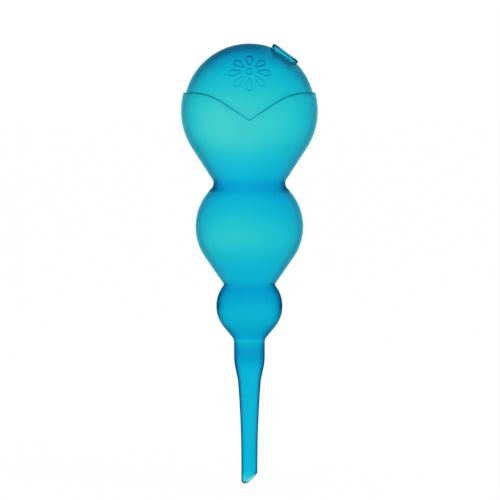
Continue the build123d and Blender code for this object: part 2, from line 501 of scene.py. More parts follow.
def meet_ball(start: np.ndarray, angle: float, radius: float, height: float) -> np.ndarray:
    """Find where a cone that narrows downwards first meets a ball.

    Args:
        start: Distance from the axis and height where the cone starts.
        angle: Half angle of the cone, in degrees.
        radius: Radius of the ball.
        height: Height of its middle.

    Returns:
        Distance from the axis and height.
    """
    turn = math.radians(angle)
    way = np.array((-math.sin(turn), -math.cos(turn)))
    offset = start - np.array((0, height))
    along = offset @ way
    return start + way * (-along - math.sqrt(along**2 - offset @ offset + radius**2))


def bend(start: np.ndarray, corner: np.ndarray, end: np.ndarray, steps: int) -> list[np.ndarray]:
    """Round a corner of a surface by a smooth curve.

    Args:
        start: Where the curve leaves the first side.
        corner: The sharp corner.
        end: Where the curve meets the second side.
        steps: How many steps the curve has.

    Returns:
        The places along the curve, both ends among them.
    """
    places = np.linspace(0, 1, steps + 1)
    return [start * (1 - t) ** 2 + corner * 2 * t * (1 - t) + end * t**2 for t in places]


def strip(here: int, below: int, columns: int) -> list[list[int]]:
    """Join two rings of points by a strip of faces.

    Args:
        here: Place of the first ring's first point.
        below: Place of the second ring's first point.
        columns: How many points each ring has.

    Returns:
        The faces as lists of points.
    """
    faces = []
    for column in range(columns):
        after = (column + 1) % columns
        faces.append([here + column, below + column, below + after, here + after])
    return faces


def closed_skin(
    rings: np.ndarray, top: np.ndarray, foot: np.ndarray
) -> tuple[np.ndarray, list[list[int]]]:
    """Join rings of points from one pole to the other.

    Args:
        rings: Rings by columns by three, in order along the skin.
        top: The pole before the first ring.
        foot: The pole after the last ring.

    Returns:
        The points, and the faces as lists of points.
    """
    count, columns = rings.shape[:2]
    points = np.vstack((rings.reshape(-1, 3), [top, foot]))
    head, tail = len(points) - 2, len(points) - 1
    last = (count - 1) * columns
    faces: list[list[int]] = []
    for column in range(columns):
        after = (column + 1) % columns
        faces += [[head, column, after], [tail, last + after, last + column]]
    for ring in range(count - 1):
        faces += strip(ring * columns, (ring + 1) * columns, columns)
    return points, faces


def circle_points(count: int) -> np.ndarray:
    """Set points evenly round a circle of radius one about the third axis.

    Args:
        count: How many points.

    Returns:
        The points, one to a row.
    """
    turns = np.arange(count) * math.tau / count
    return np.column_stack((np.cos(turns), np.sin(turns), np.zeros(count)))


def make_piece(name: str, points: np.ndarray, faces: list[list[int]]) -> bpy.types.Object:
    """Make a smooth mesh object from points in millimetres.

    Args:
        name: Name of the piece.
        points: The points.
        faces: The faces as lists of points.

    Returns:
        The object, in the scene.
    """
    mesh = bpy.data.meshes.new(name)
    mesh.from_pydata((points * MM).tolist(), [], faces)
    mesh.shade_smooth()
    mesh.set_sharp_from_angle(angle=math.radians(CREASE_ANGLE))
    piece = bpy.data.objects.new(name, mesh)
    bpy.context.scene.collection.objects.link(piece)
    return piece


def set_share(piece: bpy.types.Object, share: Share, values: np.ndarray) -> None:
    """Keep a share for each point of a piece, for its material to read.

    Args:
        piece: The piece.
        share: Which share it is.
        values: Its value at each point.
    """
    layer = piece.data.attributes.new(share.value, "FLOAT", "POINT")
    layer.data.foreach_set("value", values.astype(np.float32))


def place_piece(piece: bpy.types.Object, node: str, body: Body) -> None:
    """Set a finished piece in the frame in place of its node.

    Args:
        piece: The piece.
        node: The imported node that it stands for.
        body: The body that it moves with.
    """
    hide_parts(node)
    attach(piece, body.value)


@dataclass(frozen=True)
class FillerSeat:
    """Where the filler sits: a flat on the dome, on an axis that leans from the dome's middle."""

    dome_radius: float = 43.9
    dome_height: float = 160.1
    tilt: float = 33.3
    turn: float = -10.0
    seat_radius: float = 10.6
    hole_radius: float = 8.75

    @property
    def axis(self) -> np.ndarray:
        """Find the direction out of the dome along the filler.

        Returns:
            The unit direction in the row frame.
        """
        lean, turn = math.radians(self.tilt), math.radians(self.turn)
        flat = math.sin(lean)
        return np.array((flat * math.cos(turn), flat * math.sin(turn), math.cos(lean)))

    @property
    def distance(self) -> float:
        """Distance of the flat from the dome's middle."""
        return math.sqrt(self.dome_radius**2 - self.seat_radius**2)

    def to_row(self, points: np.ndarray) -> np.ndarray:
        """Move points from the filler's own frame to the row's.

        Args:
            points: Points with their third place along the axis, from the flat outwards.

        Returns:
            The same points in the row frame.
        """
        across = np.array((0.0, 1.0, 0.0))
        across = across - self.axis * (across @ self.axis)
        across /= np.linalg.norm(across)
        uphill = np.cross(self.axis, across)
        origin = np.array((0, 0, self.dome_height)) + self.axis * self.distance
        return origin + points @ np.array((across, uphill, self.axis))


@dataclass(frozen=True)
class Walls:
    """How far a half outline is set in from the outside, from the globe down to the nose."""

    globe: float = 0.0
    middle: float = 0.0
    lower: float = 0.0
    spike: float = 0.0
    nose: float = 0.0


@dataclass(frozen=True)
class WallBand:
    """A stretch where the blown wall is thicker or thinner.

    Attributes:
        level: Height where it changes most.
        extra: How much it adds there.
        above: How far it spreads upwards.
        below: How far it spreads downwards.
        lean: How much more it adds on the side away from the filler.
        seam: How much less it adds at the parting line.
        seam_power: How closely that keeps to the line.
    """

    level: float
    extra: float
    above: float
    below: float
    lean: float = 0.0
    seam: float = 0.0
    seam_power: int = 6

    def at(self, height: np.ndarray, angles: np.ndarray) -> np.ndarray:
        """Find how much the band adds to the wall.

        Args:
            height: Heights of the points.
            angles: Their angles round the axis.

        Returns:
            The thickness that is added, less than nothing where the wall is thinner.
        """
        spread = np.where(height > self.level, self.above, self.below)
        aside = np.cos(angles)
        round_axis = (1 - self.lean * aside) * (1 - self.seam * aside**self.seam_power)
        return self.extra * np.exp(-(((height - self.level) / spread) ** 2)) * round_axis


@dataclass(frozen=True)
class Swell:
    """A slow wave in the wall, which goes round the axis and winds as it goes up.

    Attributes:
        depth: How far it moves the wall at most.
        waves: How many waves go round.
        start: Where it starts, in radians.
        wind: Height over which it winds on by a radian.
    """

    depth: float
    waves: int
    start: float
    wind: float

    def at(self, height: np.ndarray, angles: np.ndarray) -> np.ndarray:
        """Find how far the wave moves the wall outwards.

        Args:
            height: Heights of the points.
            angles: Their angles round the axis.

        Returns:
            The way outwards at each point.
        """
        return self.depth * np.sin(self.waves * angles + self.start + height / self.wind)


@dataclass(frozen=True)
class Rosette:
    """Raised line on the front of the dome: drops about a ring."""

    latitude: float = 35.0
    radius: float = 14.0
    drops: int = 8
    drop_length: float = 9.0
    round_end: float = 2.7
    point_end: float = 1.2
    ring_radius: float = 2.7
    line: float = 0.9
    height: float = 0.5
    margin: float = 1.2
    cuts: int = 6

    @property
    def facing(self) -> np.ndarray:
        """Direction from the dome's middle to the rosette's."""
        latitude = math.radians(self.latitude)
        return np.array((0, -math.cos(latitude), math.sin(latitude)))

    def relief(self, points: np.ndarray) -> np.ndarray:
        """Find how high the line stands.

        Args:
            points: Points on the dome, from its middle.

        Returns:
            The height over the dome at each point.
        """
        across = points[:, 0]
        up = points @ np.cross(self.facing, (1.0, 0.0, 0.0))
        reach = np.hypot(across, up)
        sector = math.tau / self.drops
        angle = (np.arctan2(up, across) + sector / 2) % sector - sector / 2
        start = self.radius - self.drop_length + self.point_end
        length = self.radius - self.round_end - start
        along, aside = reach * np.cos(angle) - start, np.abs(reach * np.sin(angle))
        lean = (self.point_end - self.round_end) / length
        upright = math.sqrt(1 - lean**2)
        share = upright * along - lean * aside
        edge = upright * aside + lean * along - self.point_end
        edge = np.where(share < 0, np.hypot(along, aside) - self.point_end, edge)
        far = np.hypot(along - length, aside) - self.round_end
        edge = np.where(share > upright * length, far, edge)
        half = self.line / 2
        off = np.minimum(np.abs(edge + half), np.abs(reach - self.ring_radius + half))
        return self.height * 0.5 * (1 + np.cos(math.pi * np.clip(off / half, 0, 1)))


@dataclass(frozen=True)
class PetalEdge:
    """The edge that the petals stand up to round the dome, with a notch at the front and at the back.

    Attributes:
        side: Height of the edge at the sides.
        notch: Height of the notches.
        slope: Rise from a notch, in degrees.
        arc: Radius of the bend from that rise to the level sides.
        notch_round: Radius at the foot of a notch.
        edge_round: Rounding of the ledge's outer edge.
        foot_round: Rounding where the ledge meets the dome.
        inner_round: Rounding of both on the inside of the wall.
        ledge_wall: Thickness of the ledge.
        sink: How far the step fades in towards the dome at a notch.
        sink_width: How far that spreads to the sides.
        sink_drop: How far it spreads downwards.
    """

    side: float = 171.4
    notch: float = 153.7
    slope: float = 33.6
    arc: float = 40.0
    notch_round: float = 0.8
    edge_round: float = 0.15
    foot_round: float = 0.2
    inner_round: float = 0.25
    ledge_wall: float = 0.55
    sink: float = 1.4
    sink_width: float = 8.0
    sink_drop: float = 10.0

    def height(self, across: np.ndarray, wall: float) -> np.ndarray:
        """Find the height of the edge.

        Args:
            across: Distance to the side from the upright plane through the notches.
            wall: How far the edge is set in.

        Returns:
            The height of the edge there.
        """
        slope = math.radians(self.slope)
        lowest, level = self.notch - wall / math.cos(slope), self.side - wall
        radius = self.arc - wall
        bend_end = (level - lowest) / math.tan(slope) + radius * math.tan(slope / 2)
        arc = level - radius + np.sqrt(radius**2 - np.clip(bend_end - across, 0, radius) ** 2)
        line = lowest + across * math.tan(slope)
        height = np.where(across < bend_end - radius * math.sin(slope), line, arc)
        inner = np.clip(across, 0, self.notch_round)
        hollow = lowest + self.notch_round / math.cos(slope) - np.sqrt(self.notch_round**2 - inner**2)
        return np.where(across < self.notch_round * math.sin(slope), hollow, height)

    def on_ball(self, angles: np.ndarray, radius: float, middle: float, wall: float) -> np.ndarray:
        """Find where the edge meets a ball on the axis.

        Args:
            angles: Angles round the axis.
            radius: Radius of the ball.
            middle: Height of its middle.
            wall: How far the edge is set in.

        Returns:
            Distance from the axis and height at each angle.
        """
        level = np.full(angles.shape, self.side)
        for _ in range(SOLVE_ROUNDS):
            reach = np.sqrt(radius**2 - (level - middle) ** 2)
            level = self.height(reach * np.abs(np.cos(angles)), wall)
        return np.array((np.sqrt(radius**2 - (level - middle) ** 2), level))

    def faded(self, ring: np.ndarray, angles: np.ndarray) -> np.ndarray:
        """Fade the step out beside the notches.

        Args:
            ring: Distance from the axis and height at each angle.
            angles: Angles round the axis.

        Returns:
            The ring, drawn in towards the dome there.
        """
        reach, height = ring
        across = reach * np.abs(np.cos(angles))
        drop = np.maximum(self.notch - height, 0)
        share = np.exp(-((across / self.sink_width) ** 2) - (drop / self.sink_drop) ** 2)
        return np.array((reach - self.sink * share, height))


@dataclass(frozen=True)
class Reservoir:
    """The hollow moulding: three bulbs, a petal-edged dome and a spike with an oblique outlet."""

    seat: FillerSeat = FillerSeat()
    rosette: Rosette = Rosette()
    petals: PetalEdge = PetalEdge()
    walls: Walls = Walls(globe=1.2, middle=1.3, lower=1.8, spike=1.1, nose=0.9)
    # The bulbs: radius, height of the middle, and half angle of the cone that leaves it downwards.
    globe_radius: float = 45.7
    globe_height: float = 159.1
    globe_cone: float = 33.0
    middle_radius: float = 36.05
    middle_height: float = 81.8
    middle_cone: float = 34.8
    lower_radius: float = 22.15
    lower_height: float = 28.6
    lower_cone: float = 39.8
    # Waists, collar and spike: each drop, and the length, is measured down from the soil line.
    upper_waist_fillet: float = 5.0
    lower_waist_fillet: float = 1.8
    collar_radius: float = 10.3
    collar_fillet: float = 5.2
    shoulder_drop: float = 9.0
    shoulder_fillet: float = 33.0
    throat_radius: float = 7.7
    throat_drop: float = 21.2
    throat_fillet: float = 12.0
    slim_radius: float = 5.4
    slim_drop: float = 78.4
    spike_length: float = 91.0
    nose_fillet: float = 2.3
    nose_width: float = 2.7
    outlet_turn: float = -25.0
    outlet_round: float = 0.3
    # What the blowing does to the wall.
    bands: tuple[WallBand, ...] = (
        WallBand(204.0, 0.6, 1.0, 12.0),
        WallBand(186.0, 0.04, 16.0, 14.0, seam=-7.0),
        WallBand(142.0, -0.66, 50.0, 22.0, lean=0.2, seam=0.6),
        WallBand(108.9, 0.5, 4.0, 4.0),
        WallBand(70.0, -0.62, 27.0, 19.0, lean=0.2, seam=0.6),
        WallBand(18.0, -0.8, 20.0, 13.0, lean=0.1),
        WallBand(-2.5, 0.7, 6.0, 8.0),
        WallBand(-87.5, -0.35, 4.0, 6.0, lean=1.0),
    )
    swells: tuple[Swell, ...] = (Swell(0.07, 2, 0.9, 37.0), Swell(0.049, 3, 0.0, -23.0))
    swell_top: float = 147.7
    swell_fade_top: float = 12.0
    swell_fade_foot: float = 15.0
    # Height and share, from the outlet up: rims painted dark blue, a painted dark reflection, on the
    # spike, lower bulb and upper waist.
    painted_rim_shades: tuple[tuple[float, float], ...] = (
        (-91.0, 0.955), (-10.0, 0.94), (2.0, 0.85), (10.0, 0.4), (20.0, 0.3), (28.0, 0.91),
        (38.0, 0.8), (43.0, 0.3), (48.0, 0.1), (60.0, 0.0), (104.5, 0.0), (107.0, 0.55),
        (109.5, 0.55), (113.0, 0.1), (130.0, 0.0), (175.0, 0.0), (204.0, 0.3),
    )
    # Height and share, from the collar up: a painted glow, with the bulbs painted paler than the waists
    # between them.
    painted_glows: tuple[tuple[float, float], ...] = (
        (-12.0, 0.0), (-6.0, 0.5), (2.0, 0.5), (6.0, 0.1), (14.0, 0.5), (24.0, 0.3), (50.0, 0.3),
        (62.0, 0.8), (85.0, 0.8), (98.0, 0.1), (118.0, 0.1), (135.0, 0.8), (165.0, 1.0), (195.0, 0.4),
    )
    # The flat and the hole for the filler.
    seat_blend: float = 0.5
    seat_limit: float = 0.2
    seat_clear: float = 15.0
    seat_fade: float = 12.0
    hole_depth: float = 5.0
    hole_columns: int = 96
    # The faint line where the two halves of the mould meet, at the sides.
    parting_depth: float = 0.05
    parting_width: float = 0.3
    parting_end: float = 4.0
    # The mesh: extra columns, longest steps and turns, and counts of rings.
    notch_spreads: tuple[float, ...] = (0.35, 0.7, 1.2)
    parting_spreads: tuple[float, ...] = (0.2, 0.4, 0.8)
    column_step: float = 3.0
    row_step: float = 1.8
    turn_step: float = 8.0
    fine_step: float = 0.1
    fine_turn: float = 2.0
    dome_rows: int = 50
    globe_rows: int = 30
    tail_rows: int = 32
    tail_runs: int = 3
    foot_steps: int = 4
    edge_steps: int = 6
    outlet_steps: int = 4

    def side_walls(self, side: Side) -> Walls:
        """Walls that a side is set in by."""
        return self.walls if side is Side.INSIDE else Walls()

    def columns(self) -> np.ndarray:
        """Choose the angles round the axis, closer together at the notches and the parting line.

        Returns:
            The angles in order, in radians.
        """
        angles = set(np.arange(0, 360, self.column_step).tolist())
        # The notches are at the front and the back, the parting line at both sides.
        for middle, spreads in ((90, self.notch_spreads), (0, self.parting_spreads)):
            for half in (0, 180):
                for spread in spreads:
                    angles |= {(middle + half + spread) % 360, (middle + half - spread) % 360}
        return np.radians(sorted(angles))

    def runs(self, side: Side) -> list[Run]:
        """Draw the half outline from the globe's cone down to the middle of the nose.

        Args:
            side: The face of the wall.

        Returns:
            The outline, with its corners rounded.
        """
        wall = self.side_walls(side)
        middle, lower = self.middle_radius - wall.middle, self.lower_radius - wall.lower
        collar, throat = self.collar_radius - wall.spike, self.throat_radius - wall.spike
        slim = self.slim_radius - wall.spike
        globe_cone = cone_start(self.globe_radius - wall.globe, self.globe_height, self.globe_cone)
        upper_waist = meet_ball(globe_cone, self.globe_cone, middle, self.middle_height)
        middle_cone = cone_start(middle, self.middle_height, self.middle_cone)
        lower_waist = meet_ball(middle_cone, self.middle_cone, lower, self.lower_height)
        lower_cone = cone_start(lower, self.lower_height, self.lower_cone)
        run_in = (lower_cone[0] - collar) / math.tan(math.radians(self.lower_cone))
        collar_top = np.array((collar, lower_cone[1] - run_in))
        shoulder = np.array((collar, -self.shoulder_drop))
        throat_end = np.array((throat, -self.throat_drop))
        taper_end = np.array((slim, -self.slim_drop))
        nose_corner = np.array((slim, wall.nose - self.spike_length))
        nose_middle = np.array((0, wall.nose - self.spike_length))
        width, length = throat - slim, self.slim_drop - self.throat_drop
        taper_centre = taper_end + np.array(((width**2 + length**2) / (2 * width), 0))
        # Each run with the radius of the rounding at its lower end, where it has one.
        outline = (
            (Run(globe_cone, upper_waist), self.upper_waist_fillet + wall.globe),
            (Run(upper_waist, middle_cone, np.array((0, self.middle_height))), None),
            (Run(middle_cone, lower_waist), self.lower_waist_fillet + wall.middle),
            (Run(lower_waist, lower_cone, np.array((0, self.lower_height))), None),
            (Run(lower_cone, collar_top), self.collar_fillet + wall.spike),
            (Run(collar_top, shoulder), self.shoulder_fillet - wall.spike),
            (Run(shoulder, throat_end), self.throat_fillet + wall.spike),
            (Run(throat_end, taper_end, taper_centre, hollow=True), None),
            (Run(taper_end, nose_corner), self.nose_fillet - wall.spike),
            (Run(nose_corner, nose_middle), None),
        )
        runs = [run for run, _ in outline]
        for corner, (_, radius) in reversed(list(enumerate(outline))):
            if radius is not None:
                runs = soften(runs, corner, radius)
        return runs

    def top_rings(self, angles: np.ndarray, side: Side) -> list[np.ndarray]:
        """Build the dome, the petals' ledge and the globe, down to the start of its cone.

        Args:
            angles: Angles round the axis.
            side: The face of the wall.

        Returns:
            Rings, each with the distance from the axis and the height at each angle.
        """
        wall = self.side_walls(side).globe
        outside = side is Side.OUTSIDE
        petals = self.petals
        foot_round = petals.foot_round if outside else petals.inner_round
        edge_round = petals.edge_round if outside else petals.inner_round
        under = 0.0 if outside else petals.ledge_wall
        dome, globe = self.seat.dome_radius - wall, self.globe_radius - wall
        foot = petals.on_ball(angles, dome, self.seat.dome_height, under)
        edge = petals.on_ball(angles, globe, self.globe_height, under)

        def on_ball(radius: float, height: float, turn: np.ndarray) -> np.ndarray:
            """Point of a ball at an angle from its top."""
            return np.array((radius * np.sin(turn), height + radius * np.cos(turn)))

        def on_ledge(reach: np.ndarray) -> np.ndarray:
            """Point of the ledge at a distance from the axis."""
            return np.array((reach, petals.height(reach * np.abs(np.cos(angles)), under)))

        foot_turn = np.arctan2(foot[0], foot[1] - self.seat.dome_height) - foot_round / dome
        edge_turn = np.arctan2(edge[0], edge[1] - self.globe_height) + edge_round / globe
        cone_turn = math.pi / 2 + math.radians(self.globe_cone)
        dome_foot = on_ball(dome, self.seat.dome_height, foot_turn)
        globe_top = on_ball(globe, self.globe_height, edge_turn)
        if outside:
            ledge_start, ledge_end = on_ledge(foot[0] + foot_round), on_ledge(edge[0] - edge_round)
            dome_end = bend(dome_foot, foot, ledge_start, self.foot_steps)
            globe_start = bend(ledge_end, edge, globe_top, self.edge_steps)
        else:
            middle = (foot + edge) / 2
            dome_end = bend(dome_foot, foot, middle, self.edge_steps)
            globe_start = bend(middle, edge, globe_top, self.edge_steps - 1)[1:]
        dome_rings = [
            on_ball(dome, self.seat.dome_height, foot_turn * place)
            for place in np.linspace(0, 1, self.dome_rows + 1)[1:-1]
        ]
        globe_rings = [
            on_ball(globe, self.globe_height, edge_turn + (cone_turn - edge_turn) * place)
            for place in np.linspace(0, 1, self.globe_rows + 1)[1:]
        ]
        standing = [petals.faded(ring, angles) for ring in globe_start + globe_rings]
        return dome_rings + dome_end + standing

    def tail(self, angles: np.ndarray, side: Side) -> tuple[list[np.ndarray], np.ndarray]:
        """Build the slim end of the spike down to the oblique outlet.

        Args:
            angles: Angles round the axis.
            side: The face of the wall.

        Returns:
            The rings down to just short of the outlet, and the sharp edge of the outlet.
        """
        last_runs = self.runs(side)[-self.tail_runs :]
        line = np.vstack([run.points(self.fine_step, self.fine_turn) for run in last_runs])
        walked = np.concatenate(([0], np.cumsum(np.linalg.norm(np.diff(line, axis=0), axis=1))))
        start = self.nose_width - self.slim_radius
        facing = np.cos(angles - math.radians(self.outlet_turn))
        # How far over the oblique cut each point of the line is, at each angle.
        over = line[:, 1:] + self.spike_length - line[:, :1] * facing + start
        last = np.argmax(over < 0, axis=0)
        column = np.arange(len(angles))
        before, after = over[last - 1, column], over[last, column]
        end = walked[last - 1] + (walked[last] - walked[last - 1]) * before / (before - after)

        def at(length: np.ndarray) -> np.ndarray:
            """Place at a length along the line."""
            return np.array([np.interp(length, walked, line[:, place]) for place in (0, 1)])

        short = end - self.outlet_round
        rings = [at(short * place) for place in np.linspace(0, 1, self.tail_rows + 1)[1:]]
        return rings, at(end)

    def side_rings(self, angles: np.ndarray, side: Side) -> tuple[list[np.ndarray], np.ndarray]:
        """Build one face of the wall from the dome down to the outlet.

        Args:
            angles: Angles round the axis.
            side: The face of the wall.

        Returns:
            The rings, and the sharp edge of the outlet.
        """
        rings = self.top_rings(angles, side)
        for run in self.runs(side)[: -self.tail_runs]:
            for point in run.points(self.row_step, self.turn_step)[1:]:
                rings.append(np.repeat(point[:, None], len(angles), axis=1))
        tail, edge = self.tail(angles, side)
        return rings + tail, edge

    def marked(self, rings: np.ndarray, angles: np.ndarray, side: Side) -> np.ndarray:
        """Find how far a face lies from the axis, with its slow swell or its parting line.

        Args:
            rings: Rings by two by angles.
            angles: Angles round the axis.
            side: The face of the wall.

        Returns:
            The distance from the axis, rings by angles.
        """
        reach, height = rings[:, 0], rings[:, 1]
        if side is Side.INSIDE:
            fade = np.clip((self.swell_top - height) / self.swell_fade_top, 0, 1)
            fade = fade * np.clip(height / self.swell_fade_foot, 0, 1)
            return reach + fade * sum(swell.at(height, angles) for swell in self.swells)
        aside = reach * np.abs(np.sin(angles))
        line = np.exp(-((aside / self.parting_width) ** 2))
        return reach - self.parting_depth * line * np.clip(reach / self.parting_end - 1, 0, 1)

    def flattened(self, dome: np.ndarray, side: Side) -> np.ndarray:
        """Press the flat for the filler into the dome.

        Args:
            dome: Points of the dome, from its middle.
            side: The face of the wall.

        Returns:
            The points, with a soft edge round the flat.
        """
        radius = np.linalg.norm(dome, axis=-1)
        lean = dome @ self.seat.axis / radius
        far = self.seat.distance - self.side_walls(side).globe
        flat = far / np.maximum(lean, self.seat_limit)
        blend = np.clip(1 - np.abs(radius - flat) / self.seat_blend, 0, 1)
        level = np.minimum(radius, flat) - blend**2 * self.seat_blend / 4
        return dome * (level / radius)[..., None]

    def thickened(self, points: np.ndarray, angles: np.ndarray) -> np.ndarray:
        """Move the inside of the wall by its bands, which keep clear of the filler.

        Args:
            points: Rings by angles by three.
            angles: Angles round the axis.

        Returns:
            The moved points.
        """
        ray = points - np.array((0, 0, self.seat.dome_height))
        lean = ray @ self.seat.axis / np.linalg.norm(ray, axis=-1)
        turn = np.degrees(np.arccos(np.clip(lean, -1, 1)))
        extra = sum(band.at(points[..., 2], angles) for band in self.bands)
        extra = extra * np.clip((turn - self.seat_clear) / self.seat_fade, 0, 1)
        out = points * (1, 1, 0)
        out[..., 2] = np.maximum(points[..., 2] - self.globe_height, 0)
        return points - extra[..., None] * out / np.linalg.norm(out, axis=-1)[..., None]

    def finished(self, rings: np.ndarray, angles: np.ndarray, side: Side) -> np.ndarray:
        """Turn rings into points, with the flat for the filler and the marks of the moulding.

        Args:
            rings: Rings by two by angles.
            angles: Angles round the axis.
            side: The face of the wall.

        Returns:
            Rings by angles by three.
        """
        reach = self.marked(rings, angles, side)
        points = np.stack((reach * np.cos(angles), reach * np.sin(angles), rings[:, 1]), axis=-1)
        middle = np.array((0, 0, self.seat.dome_height))
        dome = slice(0, self.dome_rows - 1)
        points[dome] = middle + self.flattened(points[dome] - middle, side)
        return self.thickened(points, angles) if side is Side.INSIDE else points

    def skin(self) -> tuple[np.ndarray, list[list[int]], np.ndarray]:
        """Build the closed skin of the moulding.

        Returns:
            The points, the faces, and at each point whether it is on the inside, past the cut outlet.
        """
        angles = self.columns()
        outer, outer_edge = self.side_rings(angles, Side.OUTSIDE)
        inner, inner_edge = self.side_rings(angles, Side.INSIDE)
        across = inner_edge - outer_edge
        share = self.outlet_round / np.linalg.norm(across, axis=0)
        outer += bend(outer[-1], outer_edge, outer_edge + across * share, self.outlet_steps)[1:]
        inner += bend(inner[-1], inner_edge, inner_edge - across * share, self.outlet_steps)[1:]
        outside = self.finished(np.array(outer), angles, Side.OUTSIDE)
        inside = self.finished(np.array(inner), angles, Side.INSIDE)
        rings = np.vstack((outside, inside[::-1]))
        crown = self.seat.dome_height + self.seat.dome_radius
        inner_crown = crown - self.walls.globe - self.bands[0].extra
        poles = (np.array((0, 0, level)) for level in (crown, inner_crown))
        points, faces = closed_skin(rings, *poles)
        cut = self.outlet_steps + 1
        counts = (len(outer) + cut) * len(angles), (len(inner) - cut) * len(angles), 1, 1
        return points, faces, np.repeat((0.0, 1.0, 0.0, 1.0), counts)

    def bore_hole(self, piece: bpy.types.Object) -> None:
        """Cut the filler's hole through the dome.

        Args:
            piece: The moulding.
        """
        levels = (self.hole_depth, -self.hole_depth)
        circle = circle_points(self.hole_columns) * self.seat.hole_radius
        rings = np.array([circle + (0, 0, level) for level in levels])
        ends = [self.seat.to_row(np.array((0, 0, level))) for level in levels]
        cutter = make_piece("filler_hole", *closed_skin(self.seat.to_row(rings), *ends))
        boring = piece.modifiers.new("filler_hole", "BOOLEAN")
        boring.operation = "DIFFERENCE"
        boring.solver = "EXACT"
        boring.object = cutter
        bored = piece.evaluated_get(bpy.context.evaluated_depsgraph_get())
        mesh = bpy.data.meshes.new_from_object(bored)
        piece.modifiers.clear()
        plain, piece.data = piece.data, mesh
        mesh.name = piece.name
        # The cutter goes with its mesh.
        for waste in (plain, cutter.data):
            bpy.data.meshes.remove(waste)

    def raise_rosette(self, piece: bpy.types.Object) -> None:
        """Raise the rosette's line on the front of the dome.

        Args:
            piece: The moulding.
        """
        middle = Vector((0, 0, self.seat.dome_height * MM))
        facing = Vector(self.rosette.facing)
        reach = math.asin((self.rosette.radius + self.rosette.margin) / self.seat.dome_radius)
        skin = (self.seat.dome_radius - self.walls.globe / 2) * MM
        form = bmesh.new()
        form.from_mesh(piece.data)

        def on_patch(vert: bmesh.types.BMVert) -> bool:
            """Whether a point is on the outside of the dome under the rosette."""
            ray = vert.co - middle
            return ray.length > skin and ray.angle(facing) < reach

        patch = [face for face in form.faces if all(on_patch(vert) for vert in face.verts)]
        edges = sorted({edge for face in patch for edge in face.edges}, key=lambda edge: edge.index)
        bmesh.ops.subdivide_edges(form, edges=edges, cuts=self.rosette.cuts, use_grid_fill=True)
        verts = [vert for vert in form.verts if on_patch(vert)]
        rays = np.array([(vert.co - middle)[:] for vert in verts])
        rays /= np.linalg.norm(rays, axis=1)[:, None]
        level = self.seat.dome_radius + self.rosette.relief(rays * self.seat.dome_radius)
        for vert, ray, height in zip(verts, rays, level):
            vert.co = middle + Vector(ray) * float(height) * MM
        form.to_mesh(piece.data)
        form.free()

    def build(self) -> bpy.types.Object:
        """Build, dress and place the moulding.

        Returns:
            The piece.
        """
        points, faces, inner = self.skin()
        piece = make_piece("moulded_reservoir", points, faces)
        set_share(piece, Share.INNER, inner)
        # The painted rim shade and the painted glow, by height.
        for share, pairs in ((Share.PAINTED_RIM_SHADE, self.painted_rim_shades), (Share.PAINTED_GLOW, self.painted_glows)):
            levels, values = zip(*pairs)
            set_share(piece, share, np.interp(points[:, 2], levels, values))
        self.bore_hole(piece)
        self.raise_rosette(piece)
        piece.data.materials.append(BLOWN_PVC.material())
        place_piece(piece, "reservoir", Body.VESSEL)
        return piece


